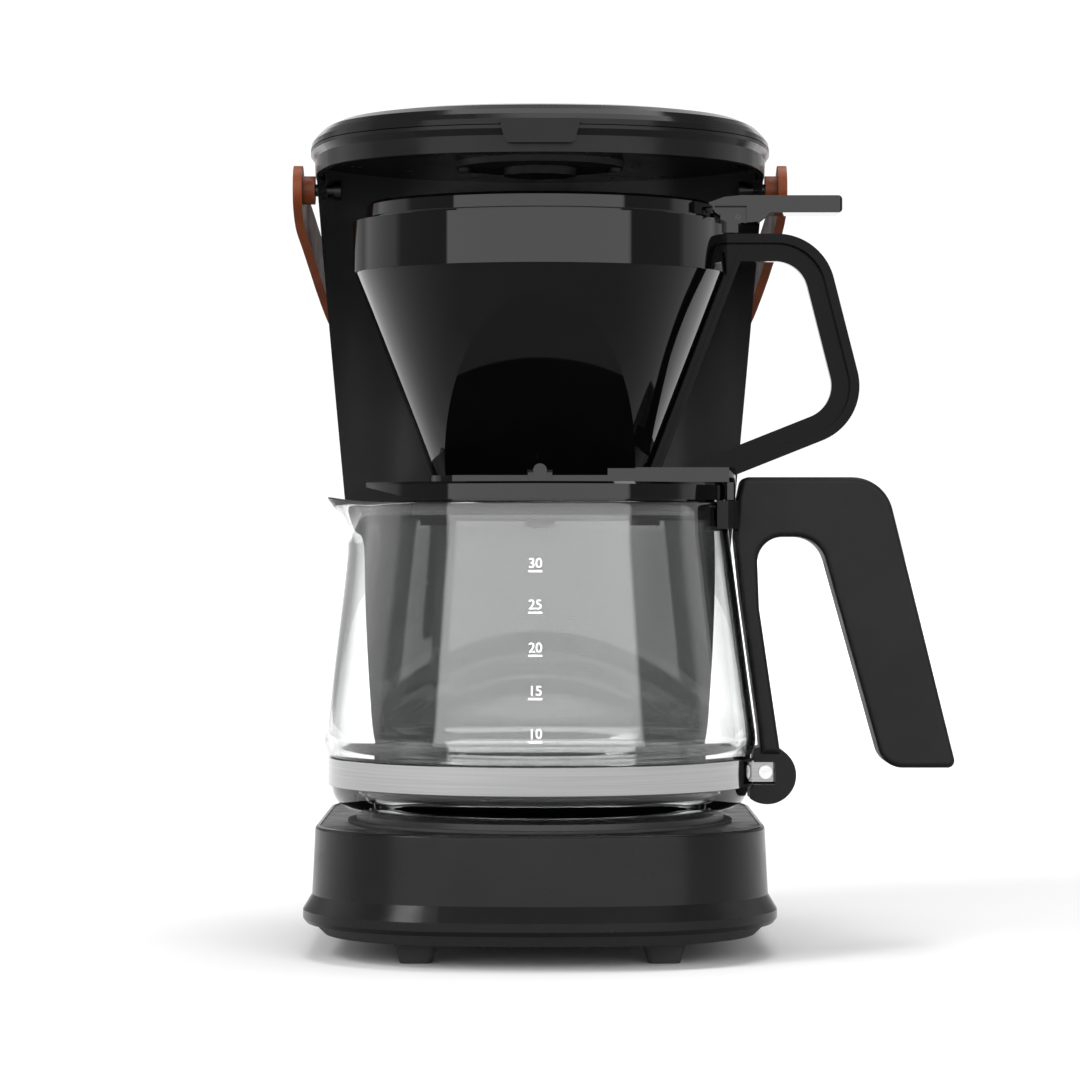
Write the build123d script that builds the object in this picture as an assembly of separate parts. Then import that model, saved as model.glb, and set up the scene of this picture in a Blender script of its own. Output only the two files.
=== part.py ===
"""A household drip coffee maker with a pour-over dripper standing on its glass jug.

Millimetres. +Z is up and z = 0 is the table. The pieces are drawn about the jug's axis
and moved at the end, so that the origin is under the middle of the whole machine's box.
The front faces -Y, and the jug's handle and the dripper's handle both point along +X.
"""

import os
from math import cos, pi, radians, sin

from build123d import *

# Whole machine
JUG_AXIS_X = -29.0  # from the origin to the jug's axis
JUG_AXIS_Y = -27.7
CENTRE_Y = 27.0  # middle of the body, front to back
LONGER = 26.4  # how much the body's half depth exceeds its half width
BODY_HALF_X = 83.7  # the widest plan, round the head's lip
BODY_END_R = 105.0
BODY_SIDE_R = 220.0
BODY_CORNER_R = 72.0
WALL = 2.4
GAP = 0.3  # between pieces that move past each other

# Base
BASE_CENTRE_Y = 25.0
BASE_HALF_X = 79.3
BASE_HALF_Y = 108.0
BASE_END_R = 190.0
BASE_CORNER_R = 55.0
COVER_Z = 8.0
SKIRT_Z = 12.0
DECK_Z = 45.6
RIM_Z = 46.0
DECK_THICK = 2.4
GLAND_Z = 32.0
FOOT_X = 43.0
FOOT_FRONT_Y = -52.0
FOOT_REAR_Y = 102.0

# Hot plate and heater
PLATE_R = 66.0
PLATE_Z = 49.7
PLATE_THICK = 1.2
SEAL_R = 69.0
CASTING_R = 45.0
CASTING_HALF = 12.0
CASTING_Z = 34.0
CHANNEL_Z = 39.0
HOSE_Z = 37.0
ROD_R = 3.3
WATER_R = 3.5
SPIGOT_X = 20.0

# Column and head
BAY_R = 83.0  # the hollow front of the column, about the jug's axis
TAPER = 0.0759
COLUMN_TOP_HALF_X = 81.6
COLUMN_TOP_Z = 278.5
CEILING_Z = 282.5
FLOOR_THICK = 2.0
HEAD_Z = 287.6
HEAD_HALF_X = 82.0
LID_TOP_Z = 296.4
LID_WALL = 1.6
TANK_Z = 62.0
TANK_INSET = 5.5
TANK_WALL = 2.0
RISER_Y = 96.0
RISER_X = 14.0
SPRAY_PIPE_Z = 288.8
HINGE_Y = 139.6
HINGE_Z = 288.2
BARREL_R = 3.2
EAR_X = 22.0

# Carrying handle
PIVOT_Y = 30.0
PIVOT_Z = 275.0
STRAP_TILT = 58.0
STRAP_HALF_WIDTH = 9.0
STRAP_THICK = 3.3
STRAP_X = 90.4
LOOP_END = 127.0

# Jug
JUG_Z = 50.0
GLASS = 2.2
BAND_LOW = 59.0
BAND_HIGH = 68.7
JUG_RIM_Z = 160.0
JUG_RIM_R = 67.4
NECK_R = 67.6
GRIP_HALF_Y = 11.0
BOSS_X = 81.3
BOSS_Z = 62.3
BOSS_R = 10.4
CLAMP_X = 81.0
CLAMP_Z = 63.2
LID_R = 66.5
LID_LOW = 160.7
LID_HIGH = 166.8

# Dripper
DRIPPER_Z = LID_HIGH + GAP
RIM_R = 67.3
RIM_LOW = 242.0
RIM_HIGH = 260.3
CONE_LOW_Z = 169.2
CONE_LOW_R = 38.7
CONE_SLOPE = 0.381
FACE_LOW_Y = 19.1
FACE_SLOPE = 0.69
SKIN = 2.2
CAVITY_Z = 173.6
DRIPPER_LID_R = 62.5
DRIPPER_LID_LOW = 261.7
DRIPPER_LID_HIGH = 266.9
LID_PIN_X = 71.0
LID_PIN_Z = 262.4
LEVER_END_X = 108.4
BRACKET_Z = 172.3

UP = (Align.CENTER, Align.CENTER, Align.MIN)


# ---------------------------------------------------------------- simple shapes


def disc(radius, low, high, x=0.0, y=0.0):
    """An upright cylinder from height low to height high."""
    return Pos(x, y, low) * Cylinder(radius, high - low, align=UP)


def ring(outer, inner, low, high, x=0.0, y=0.0):
    return disc(outer, low, high, x, y) - disc(inner, low - 1, high + 1, x, y)


def block(x, y, z):
    """A box from pairs of limits along each axis."""
    centre = Pos((x[0] + x[1]) / 2, (y[0] + y[1]) / 2, (z[0] + z[1]) / 2)
    return centre * Box(x[1] - x[0], y[1] - y[0], z[1] - z[0])


def rod_x(radius, x, y, z):
    """A round bar along X between the two limits in x."""
    return Pos(x[0], y, z) * Rot(0, 90, 0) * Cylinder(radius, x[1] - x[0], align=UP)


def rod_y(radius, x, y, z):
    """A round bar along Y between the two limits in y."""
    return Pos(x, y[0], z) * Rot(-90, 0, 0) * Cylinder(radius, y[1] - y[0], align=UP)


def turned(points):
    """A closed outline of (radius, height) points turned about the jug's axis."""
    outline = Plane.XZ * make_face(Polyline(*points, close=True))
    return revolve(outline, Axis.Z)


def pipe(points, radius, bore=0.0, bend=8.0):
    """A round pipe along straight runs with rounded bends."""
    path = FilletPolyline(*points, radius=bend)
    start = Plane(origin=path @ 0, z_dir=path % 0)
    solid = sweep(start * Circle(radius), path=path)
    if bore:
        solid -= sweep(start * Circle(bore), path=path)
    return solid


def mirrored(shape):
    """The shape and its reflection in the machine's middle plane."""
    return [shape, mirror(shape, about=Plane.YZ)]


# ---------------------------------------------------------------- plan outlines


def base_plan(grow):
    """Plan of the base: straight sides, bowed ends and large round corners."""
    outline = Pos(0, BASE_CENTRE_Y) * Rectangle(2 * (BASE_HALF_X + grow), 3 * BASE_HALF_Y)
    reach = BASE_HALF_Y - BASE_END_R
    for side in (-1, 1):
        outline &= Pos(0, BASE_CENTRE_Y + side * reach) * Circle(BASE_END_R + grow)
    return fillet(outline.vertices(), BASE_CORNER_R + grow)


def body_plan(half_x):
    """Plan of the column, the head and its lid: an oval of bowed sides and ends."""
    grow = half_x - BODY_HALF_X
    end_r = BODY_END_R + grow
    side_r = BODY_SIDE_R + grow
    outline = Rot(0, 0, 90) * SlotCenterToCenter(2 * (half_x + LONGER - end_r), 2 * end_r)
    outline &= Pos(half_x - side_r, 0) * Circle(side_r)
    outline &= Pos(side_r - half_x, 0) * Circle(side_r)
    return Pos(0, CENTRE_Y) * fillet(outline.vertices(), BODY_CORNER_R + grow)


def stacked(plan, sections):
    """A solid through plans of the given sizes, from (height, size) pairs."""
    return loft([Pos(0, 0, z) * plan(size) for z, size in sections], ruled=True)


def column_half_x(z):
    return COLUMN_TOP_HALF_X - TAPER * (COLUMN_TOP_Z - z)


def column_block(inset, front_inset, low, high):
    """The column's crescent, set in from its outside and from its hollow front."""
    sections = [(z, column_half_x(z) - inset) for z in (low, high)]
    solid = stacked(body_plan, sections)
    solid -= disc(BAY_R + front_inset, low - 1, high + 1)
    return solid - block((-100, 100), (-120, 12), (low - 1, high + 1))


# ---------------------------------------------------------------- base


def base_housing():
    outer = [(SKIRT_Z, 3.2), (13.6, 4.4), (16.6, 4.4), (22.0, 1.2), (RIM_Z, 0.0)]
    wall = stacked(base_plan, outer)
    wall = fillet(wall.faces().sort_by(Axis.Z)[-1].edges(), 1.2)
    wall -= stacked(base_plan, [(SKIRT_Z - 1, -1.0), (22, -1.2), (40.0, -WALL)])
    wall -= stacked(base_plan, [(39.9, -WALL - 1.6), (DECK_Z - DECK_THICK, -WALL - 1.6)])
    wall -= stacked(base_plan, [(DECK_Z - DECK_THICK, -1.6), (RIM_Z + 1, -1.6)])
    wall += switch_pocket_outer()
    wall -= switch_pocket_inner()
    return wall - rod_y(6.1, 0, (120, 140), GLAND_Z)


SWITCH_Y = 45.0
SWITCH_Z = 31.0
SWITCH_FACE_X = 77.4


def switch_pocket_outer():
    y = (SWITCH_Y - 15, SWITCH_Y + 15)
    return block((SWITCH_FACE_X - WALL, 79.2), y, (SWITCH_Z - 11, SWITCH_Z + 11))


def switch_pocket_inner():
    """The pocket the rocker is sunk in, and the hole its housing snaps into."""
    y = (SWITCH_Y - 12.6, SWITCH_Y + 12.6)
    pocket = block((SWITCH_FACE_X, 90), y, (SWITCH_Z - 8.6, SWITCH_Z + 8.6))
    y = (SWITCH_Y - 9.8, SWITCH_Y + 9.8)
    return pocket + block((60, 90), y, (SWITCH_Z - 6.6, SWITCH_Z + 6.6))


def switch_housing():
    """Snap-in housing with a thin bezel, open to the outside for the rocker."""
    y, z = SWITCH_Y, SWITCH_Z
    body = block((62, SWITCH_FACE_X), (y - 9.7, y + 9.7), (z - 6.5, z + 6.5))
    body += block(
        (SWITCH_FACE_X, SWITCH_FACE_X + 1), (y - 11.6, y + 11.6), (z - 7.8, z + 7.8)
    )
    body -= block((66.5, 80), (y - 8.6, y + 8.6), (z - 5.4, z + 5.4))
    for offset in (-5, 0, 5):
        body += block((55, 62), (y + offset - 0.4, y + offset + 0.4), (z - 2.4, z + 2.4))
    for side in (-1, 1):
        body += Pos(0, 0, side * 5.5) * disc(1.2, z - 0.6, z + 0.6, 74.5, y)
    return body


def rocker():
    """The rocker at rest in its off position, on two stub pivots."""
    outline = Polyline(
        (-5.2, -5.5), (-1.2, -8.0), (3.0, -8.0), (2.4, 0), (3.0, 8.0), (-1.2, 8.0),
        (-5.2, 5.5), close=True,
    )
    cap = extrude(make_face(outline), 4.95, both=True)
    for side in (-1, 1):
        cap -= Pos(0, 0, side * 4.9) * Cylinder(1.25, 1.6)
    return Pos(74.5, SWITCH_Y, SWITCH_Z) * Rot(0, 0, -9) * cap


def deck_plate():
    """Glossy top of the base, open for the hot plate and for the hoses."""
    low = DECK_Z - DECK_THICK
    deck = stacked(base_plan, [(low, -1.7), (DECK_Z, -1.7)])
    deck -= disc(PLATE_R + 0.6, low - 1, DECK_Z + 1)
    deck -= block((-34, 34), (86, 106), (low - 1, DECK_Z + 1))
    for x, y in COLUMN_SCREWS:
        deck -= disc(1.8, low - 1, DECK_Z + 1, x, y)
    return deck


def bottom_cover():
    """Closing tray under the base, with slots that let the heat out."""
    cover = stacked(base_plan, [(COVER_Z, -3.2), (SKIRT_Z - 0.2, 0.6)])
    cover -= stacked(base_plan, [(COVER_Z + 2.2, -6.0), (SKIRT_Z + 1, -2.6)])
    for x in range(-30, 31, 10):
        cover -= block((x - 1.5, x + 1.5), (-10, 50), (COVER_Z - 1, COVER_Z + 3))
    for x, y in COVER_SCREWS:
        cover -= disc(1.8, COVER_Z - 1, COVER_Z + 3, x, y)
    return cover


def foot_places():
    return [(x, y) for x in (-FOOT_X, FOOT_X) for y in (FOOT_FRONT_Y, FOOT_REAR_Y)]


COVER_SCREWS = [(x, y) for x in (-62, 62) for y in (-25, 78)]
COLUMN_SCREWS = [(-40, 88), (40, 88), (-24, 110), (24, 110)]


def feet():
    pads = []
    for x, y in foot_places():
        pad = loft(
            [Pos(x, y, 0) * RectangleRounded(11, 11, 2),
             Pos(x, y, COVER_Z) * RectangleRounded(16, 16, 3)],
            ruled=True,
        )
        pads.append(fillet(pad.faces().sort_by(Axis.Z)[0].edges(), 0.5))
    return pads


def screw(x, y, head_z, tip_z, head_r=3.0, shank_r=1.5, head=1.6):
    """A pan-head screw driven upwards from head_z."""
    shank = disc(shank_r, head_z, tip_z, x, y)
    cap = disc(head_r, head_z - head, head_z, x, y)
    cross = Pos(x, y, head_z - head) * (Box(3.2, 0.7, 1.4) + Box(0.7, 3.2, 1.4))
    return shank + cap - cross


def cover_screws():
    return [screw(x, y, COVER_Z, 20) for x, y in COVER_SCREWS]


def cover_posts():
    """Posts that hang from the deck and take the cover's screws."""
    posts = []
    for x, y in COVER_SCREWS:
        post = disc(4.0, COVER_Z + 2.3, DECK_Z - DECK_THICK, x, y)
        posts.append(post - disc(1.55, COVER_Z, 24, x, y))
    return posts


def cord_gland():
    """Bush in the rear wall that a mains cord passes through."""
    gland = rod_y(6.0, 0, (122.0, 134.4), GLAND_Z) + rod_y(8.0, 0, (134.2, 136.6), GLAND_Z)
    gland += rod_y(7.4, 0, (127.0, 129.2), GLAND_Z)
    return gland - rod_y(3.6, 0, (110, 150), GLAND_Z)


# ---------------------------------------------------------------- heater


def hot_plate():
    """Shallow steel dish the jug stands on, with a stud under its middle."""
    low = DECK_Z + 0.9
    dish = turned(
        [(0, PLATE_Z - 0.5), (54, PLATE_Z - 0.5), (57, PLATE_Z), (63.5, PLATE_Z),
         (PLATE_R, PLATE_Z - 1.2), (PLATE_R, low), (PLATE_R - PLATE_THICK, low),
         (PLATE_R - PLATE_THICK, PLATE_Z - PLATE_THICK - 0.8),
         (57, PLATE_Z - PLATE_THICK), (54, PLATE_Z - PLATE_THICK - 0.5),
         (0, PLATE_Z - PLATE_THICK - 0.5)]
    )
    return dish + disc(2.0, 27.0, PLATE_Z - PLATE_THICK)


def plate_seal():
    lip = ring(SEAL_R, PLATE_R - PLATE_THICK, DECK_Z, DECK_Z + 0.9)
    return lip + ring(PLATE_R + 0.5, PLATE_R - PLATE_THICK, DECK_Z - DECK_THICK, DECK_Z)


def horseshoe(profile):
    """A profile turned about the jug's axis, open towards the rear."""
    return Rot(0, 0, 120) * revolve(Plane.XZ * profile, Axis.Z, revolution_arc=300)


def heater_casting():
    """Aluminium horseshoe with a channel for water and one for the heating rod."""
    top = PLATE_Z - PLATE_THICK - 0.5
    height = top - CASTING_Z
    section = Pos(CASTING_R, CASTING_Z + height / 2) * RectangleRounded(
        2 * CASTING_HALF, height - 0.02, 2
    )
    casting = horseshoe(section)
    casting -= horseshoe(Pos(CASTING_R - 5.5, CHANNEL_Z) * Circle(ROD_R + 0.05))
    return casting - horseshoe(Pos(CASTING_R + 5.5, CHANNEL_Z) * Circle(WATER_R))


def heating_rod():
    return horseshoe(Pos(CASTING_R - 5.5, CHANNEL_Z) * Circle(ROD_R))


def casting_end(radius):
    """Where a channel of the horseshoe comes out, on the +X side."""
    return radius * sin(radians(30)), radius * cos(radians(30))


def water_spigots():
    """Bent pipe ends pushed on to the heater's two water openings."""
    x, y = casting_end(CASTING_R + 5.5)
    out = (x - 7 * cos(radians(30)), y + 7 * sin(radians(30)))
    path = [(x, y + 0.05, CHANNEL_Z), (*out, CHANNEL_Z), (SPIGOT_X - 2, 66, HOSE_Z)]
    stub = pipe(path, 3.45, 2.6, 3)
    return mirrored(stub)


def heater_strap():
    """Sprung steel strap that presses the casting against the hot plate."""
    strap = block((-54, 54), (-7, 7), (CASTING_Z - 1.6, CASTING_Z))
    strap = fillet(strap.edges().filter_by(Axis.Z), 3)
    return strap - disc(2.1, 30, 40)


def heater_nut():
    nut = Pos(0, 0, CASTING_Z - 5.0) * extrude(RegularPolygon(4.2, 6), 3.4)
    return nut - disc(2.05, 20, 40)


def thermostat():
    """Disc thermostat clamped under the front of the casting."""
    y = -CASTING_R
    can = disc(8.0, CASTING_Z - 6.5, CASTING_Z - 0.6, 0, y)
    can += ring(9.5, 3.0, CASTING_Z - 0.6, CASTING_Z, 0, y)
    for x in (-5, 5):
        can += block((x - 3, x + 3), (y - 0.4, y + 0.4), (CASTING_Z - 12, CASTING_Z - 6.5))
    return can


def thermal_fuse():
    """Thermal fuse in its glass-fibre sleeve, along the casting's left leg."""
    x = -CASTING_R
    fuse = rod_y(2.8, x, (12, 30), CASTING_Z - 2.8)
    return fuse + rod_y(0.7, x, (6, 36), CASTING_Z - 2.8)


def lead_wires():
    """Insulated leads from the gland and the switch to the heater's parts."""
    z = 24
    live = pipe([(2, 121, GLAND_Z), (2, 112, z), (50, 95, z), (53, 52, 31)], 1.1, bend=5)
    neutral = pipe([(-2, 121, GLAND_Z), (-2, 112, z), (-45, 92, z), (-45, 37, 33.7)], 1.1, bend=5)
    fed = pipe([(54, 40, 31), (44, 30, z), (5, -20, z), (5, -43.4, 24.6)], 1.1, bend=5)
    return [live, neutral, fed]


# ---------------------------------------------------------------- column and water path


def column_housing():
    """Tapered column with a hollow front, closed at the bottom, open at the top."""
    floor = DECK_Z + 2.4
    shell = column_block(0, 0, DECK_Z, COLUMN_TOP_Z)
    shell -= column_block(WALL, WALL, floor, 274)
    shell -= column_block(5.1, WALL, 273.9, COLUMN_TOP_Z + 1)
    collar = column_block(2.8, 0, COLUMN_TOP_Z, CEILING_Z)
    shell += collar - column_block(5.1, WALL, COLUMN_TOP_Z - 1, CEILING_Z + 1)
    shell -= block((-30, 30), (88, 104), (DECK_Z - 1, floor + 1))
    for x, y in COLUMN_SCREWS:
        post = disc(3.6, floor - 0.5, 57, x, y)
        shell += post
        shell -= disc(1.6, DECK_Z - 1, 55, x, y)
    for side in (-1, 1):
        shell -= rod_x(2.3, (side * 80 - 20, side * 80 + 20), PIVOT_Y, PIVOT_Z)
    return shell


def column_screws():
    low = DECK_Z - DECK_THICK
    return [screw(x, y, low, 54, head_r=3.2) for x, y in COLUMN_SCREWS]


def water_tank():
    """Inner vessel that fills the column, with an outlet spigot in its floor."""
    tank = column_block(TANK_INSET, 2.8, TANK_Z, CEILING_Z + FLOOR_THICK)
    flange_z = CEILING_Z + FLOOR_THICK
    tank += column_block(3.8, 1.2, flange_z, flange_z + 1.4)
    inside = TANK_INSET + TANK_WALL
    tank -= column_block(inside, 2.8 + TANK_WALL, TANK_Z + 2.4, flange_z + 2)
    tank += disc(4.2, 55.4, TANK_Z, -RISER_X, RISER_Y)
    tank -= disc(3.0, 50, TANK_Z + 5, -RISER_X, RISER_Y)
    return tank - disc(4.6, TANK_Z - 1, TANK_Z + 5, RISER_X, RISER_Y)


def outlet_filter():
    """Small strainer over the tank's outlet."""
    dome = ring(7, 6, TANK_Z + 2.4, TANK_Z + 7, -RISER_X, RISER_Y)
    dome += disc(7, TANK_Z + 7, TANK_Z + 8, -RISER_X, RISER_Y)
    for i in range(8):
        slot = Pos(-RISER_X, RISER_Y, TANK_Z + 4.8) * Rot(0, 0, 45 * i) * Pos(6.5, 0, 0)
        dome -= slot * Box(3, 1.2, 2.6)
    return dome


def cold_hose():
    """Hose from the tank's outlet to the heater's inlet."""
    x = -RISER_X
    points = [(x, RISER_Y, 60), (x, RISER_Y, HOSE_Z), (2 - SPIGOT_X, 63, HOSE_Z)]
    return pipe(points, 5.8, 4.3, 8)


def hot_hose():
    """Hose from the heater's outlet to the foot of the riser."""
    points = [(RISER_X, RISER_Y, 60), (RISER_X, RISER_Y, HOSE_Z), (SPIGOT_X - 2, 63, HOSE_Z)]
    return pipe(points, 5.8, 4.3, 8)


def check_valve():
    """Ball cage in the cold hose: back pressure lifts the ball on to the seat above it."""
    x, y = -RISER_X, RISER_Y
    cage = ring(4.25, 3.2, 46, 55, x, y) + ring(3.4, 2.0, 53, 55, x, y)
    cage += block((x - 3.4, x + 3.4), (y - 0.6, y + 0.6), (46, 46.8))
    return cage + block((x - 0.6, x + 0.6), (y - 3.4, y + 3.4), (46, 46.8))


def check_ball():
    return Pos(-RISER_X, RISER_Y, 49.7) * Sphere(2.6)


def hose_clips():
    """Spring clips on the hoses' upright ends."""
    clips = []
    for x in (-RISER_X, RISER_X):
        clip = ring(6.8, 5.85, 55.6, 59.4, x, RISER_Y)
        clip += block((x - 1, x + 1), (RISER_Y + 6.2, RISER_Y + 10), (56, 59))
        clips.append(clip)
    return clips


def riser_tube():
    """Tube that carries the hot water up through the tank and out to the spray head."""
    x, y, top = RISER_X, RISER_Y, 290.4
    points = [(x, y, 50), (x, y, top), (0, 72, top), (0, 34, SPRAY_PIPE_Z), (0, 8, SPRAY_PIPE_Z)]
    return pipe(points, 4.2, 3.0, 8)


def riser_grommet():
    """Seal where the riser passes the tank's floor."""
    x, y = RISER_X, RISER_Y
    seal = ring(4.55, 4.25, TANK_Z, TANK_Z + 2.4, x, y)
    return seal + ring(8.0, 4.25, TANK_Z + 2.4, TANK_Z + 4.4, x, y)


# ---------------------------------------------------------------- head


def head_housing():
    """Shallow tray on top of the column that reaches forward over the dripper."""
    outer = [(COLUMN_TOP_Z, HEAD_HALF_X), (284.2, HEAD_HALF_X + 0.2), (286.4, BODY_HALF_X)]
    tray = stacked(body_plan, outer + [(HEAD_Z, BODY_HALF_X)])
    inner = HEAD_HALF_X - WALL
    tray -= stacked(body_plan, [(COLUMN_TOP_Z - 1, inner), (CEILING_Z, inner)])
    floor = CEILING_Z + FLOOR_THICK
    tray -= stacked(body_plan, [(floor, inner), (285.4, inner), (HEAD_Z + 0.2, 81.2)])
    tray -= column_block(TANK_INSET - 0.3, 2.6, CEILING_Z - 1, floor + 1)
    tray -= disc(16.4, CEILING_Z - 1, floor + 1)
    for x in (-27, 27):
        tray -= disc(1.3, CEILING_Z - 1, floor + 1, x, 0)
    return hinge_ears(tray)


def hinge_ears(tray):
    """Adds the two rear knuckles and clears a space for the lid's knuckle."""
    for x in (-EAR_X, EAR_X):
        tray += rod_x(BARREL_R, (x - 5.6, x + 5.6), HINGE_Y, HINGE_Z)
        tray += block((x - 5.6, x + 5.6), (131, HINGE_Y), (281, HINGE_Z - 1))
    tray -= rod_x(BARREL_R + GAP, (5.6 - EAR_X, EAR_X - 5.6), HINGE_Y, HINGE_Z)
    return tray - rod_x(1.55, (-60, 60), HINGE_Y, HINGE_Z)


def tank_lid():
    """Domed lid over the whole head, with a finger tab in front."""
    low = HEAD_Z + GAP
    crown = [(low, BODY_HALF_X), (289.8, 83.4), (291.6, 82.0), (293.4, 80.2), (295.2, 76.0),
             (LID_TOP_Z, 68.0)]
    hollow = [(low - 1, 81.6), (289.8, 81.2), (291.6, 79.4), (293.2, 75.5),
              (LID_TOP_Z - LID_WALL, 66.0)]
    lid = stacked(body_plan, crown) - stacked(body_plan, hollow)
    skirt = stacked(body_plan, [(286.3, 78.2), (292.8, 78.2)])
    skirt -= stacked(body_plan, [(285, 76.6), (LID_TOP_Z, 76.6)])
    lid += skirt - block((-100, 100), (100, 160), (280, 300))
    for x in (-EAR_X, EAR_X):
        lid -= rod_x(BARREL_R + GAP, (x - 6, x + 6), HINGE_Y, HINGE_Z)
    knuckle = (6 - EAR_X, EAR_X - 6)
    lid += rod_x(BARREL_R, knuckle, HINGE_Y, HINGE_Z)
    lid += block(knuckle, (134.0, HINGE_Y), (HINGE_Z, HINGE_Z + BARREL_R))
    lid -= rod_x(1.55, (-60, 60), HINGE_Y, HINGE_Z)
    return lid + finger_tab()


def finger_tab():
    front = CENTRE_Y - BODY_HALF_X - LONGER
    outline = Polyline((-13.8, 289.4), (13.8, 289.4), (11.8, 281.3), (-11.8, 281.3), close=True)
    tab = extrude(Plane.XZ.offset(-front + GAP) * make_face(outline), 1.9)
    tab = fillet(tab.edges().filter_by(Axis.Y).sort_by(Axis.Z)[:2], 1.8)
    return tab + block((-13.8, 13.8), (front - 1.5, front + 1.6), (288.0, 289.6))


def hinge_pin():
    return rod_x(1.5, (-28.5, 28.5), HINGE_Y, HINGE_Z)


def spray_head():
    """Round outlet over the dripper, with two groups of four holes."""
    head = disc(30, CEILING_Z - 2.2, CEILING_Z) + disc(13, 277.5, CEILING_Z)
    head += disc(16, CEILING_Z, 294.3)
    head -= disc(11.4, 279.3, 291.8)
    for x in (-5.3, 5.3):
        for dx in (-1.4, 1.4):
            for dy in (-1.4, 1.4):
                head -= disc(0.7, 270, 281, x + dx, dy)
    for x in (-27, 27):
        head -= disc(1.3, 270, 290, x, 0)
    return head - rod_y(4.25, 0, (6, 30), SPRAY_PIPE_Z)


def spray_screws():
    return [screw(x, 0, CEILING_Z - 2.2, 286, 2.6, 1.2, 1.3) for x in (-27, 27)]


# ---------------------------------------------------------------- carrying handle


def strap_outline(inset):
    """In-plane outline of the bail: two arms that curve smoothly into one loop."""
    bends = [(STRAP_X, 0, 0), (88.9, 20, 5), (83.0, 60, 14), (69.0, 101, 37), (36.0, 124.5, 69)]
    arm = []
    for x, along, facing in bends:
        turn = radians(facing)
        arm.append((x - inset * cos(turn), along - inset * sin(turn)))
    far = [(-x, along) for x, along in reversed(arm)]
    loop = Spline(*arm, (0, LOOP_END - inset), *far, tangents=[(0, 1), (0, -1)])
    end = STRAP_X - inset
    foot = Polyline((-end, 0), (-end, -9), (end, -9), (end, 0))
    return make_face(Wire([loop, *foot.edges()]))


def across(radius, length, x):
    """A round boss on the bail's pivot axis, centred at x, in the strap's own plane."""
    return Pos(x, 0, 0) * Rot(0, 90, 0) * Cylinder(radius, length)


def bail_handle():
    """Flat strap bent into a bail, with round ends and bosses at its pivots."""
    strap = extrude(strap_outline(0) - strap_outline(STRAP_THICK), STRAP_HALF_WIDTH, both=True)
    strap -= block((-200, 200), (-60, 0), (-20, 20))
    for side in (-1, 1):
        middle = STRAP_X - STRAP_THICK / 2
        strap += across(STRAP_HALF_WIDTH, STRAP_THICK, side * middle)
        strap += across(5.2, 4.6, side * (STRAP_X - STRAP_THICK - 2.2))
    for side in (-1, 1):
        strap -= across(2.3, 20, side * 86)
        strap -= across(4.0, 1.7, side * (STRAP_X - 0.8))
    return Pos(0, PIVOT_Y, PIVOT_Z) * Rot(STRAP_TILT - 90, 0, 0) * strap


def pivot_screws():
    """Shoulder screws that the bail turns on, nutted inside the column's walls."""
    screws = []
    for side in (-1, 1):
        pin = rod_x(2.25, (75.0, 89.4), PIVOT_Y, PIVOT_Z)
        pin += rod_x(3.7, (88.9, 89.9), PIVOT_Y, PIVOT_Z)
        pin += rod_x(3.4, (73.0, 75.6), PIVOT_Y, PIVOT_Z)
        screws.append(pin if side > 0 else mirror(pin, about=Plane.YZ))
    return screws


# ---------------------------------------------------------------- jug


def jug_outside():
    wall = [
        Line((0, 51.4), (60, 51.4)),
        Line((60, 51.4), (64, JUG_Z)),
        Line((64, JUG_Z), (68.5, JUG_Z)),
        ThreePointArc((68.5, JUG_Z), (72.6, 51.8), (74.4, 55.4)),
        Line((74.4, 55.4), (75.3, BAND_LOW)),
        Line((75.3, BAND_LOW), (75.3, BAND_HIGH + 0.6)),
        ThreePointArc((75.3, BAND_HIGH + 0.6), (77.7, 74.0), (76.9, 80.0)),
        Line((76.9, 80.0), (68.3, 145.0)),
        ThreePointArc((68.3, 145.0), (67.5, 151.0), (JUG_RIM_R, JUG_RIM_Z)),
        Line((JUG_RIM_R, JUG_RIM_Z), (0, JUG_RIM_Z)),
        Line((0, JUG_RIM_Z), (0, 51.4)),
    ]
    return revolve(Plane.XZ * make_face(Wire(wall)), Axis.Z)


def jug_inside():
    return turned(
        [(0, 55.2), (64, 54.6), (70.0, 57.5), (73.0, 63.0), (73.1, 69.5),
         (75.3, 74.5), (74.7, 80.0), (66.1, 145.0), (65.2, 151.0),
         (65.1, JUG_RIM_Z + 6), (0, JUG_RIM_Z + 6)]
    )


def spout(inset):
    """Slanted cone that makes the pouring lip, on the side away from the handle."""
    return loft(
        [Pos(-64, 0, 146.5) * Circle(5.2 - inset), Pos(-60, 0, 162) * Circle(17 - inset)],
        ruled=True,
    )


def jug_glass():
    glass = jug_outside() + spout(0)
    return glass - jug_inside() - spout(GLASS) - disc(16, 161.9, 170, -60, 0)


def jug_band():
    """Steel strap round the jug whose two ears are drawn together by a screw."""
    band = ring(76.4, 75.5, BAND_LOW, BAND_HIGH)
    for side in (-1, 1):
        y = sorted((side * 1.2, side * 2.2))
        band += block((75.6, 86.6), y, (BAND_LOW + 0.6, BAND_HIGH - 0.6))
    band -= block((70, 80), (-1.2, 1.2), (50, 80))
    return band - rod_y(1.7, CLAMP_X, (-10, 10), CLAMP_Z)


def band_screw():
    shank = rod_y(1.6, CLAMP_X, (-4.8, 6.2), CLAMP_Z)
    head = rod_y(2.4, CLAMP_X, (-4.8, -2.7), CLAMP_Z)
    slot = block((CLAMP_X - 2.6, CLAMP_X + 2.6), (-5.2, -4.2), (CLAMP_Z - 0.35, CLAMP_Z + 0.35))
    return shank + head - slot


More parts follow.
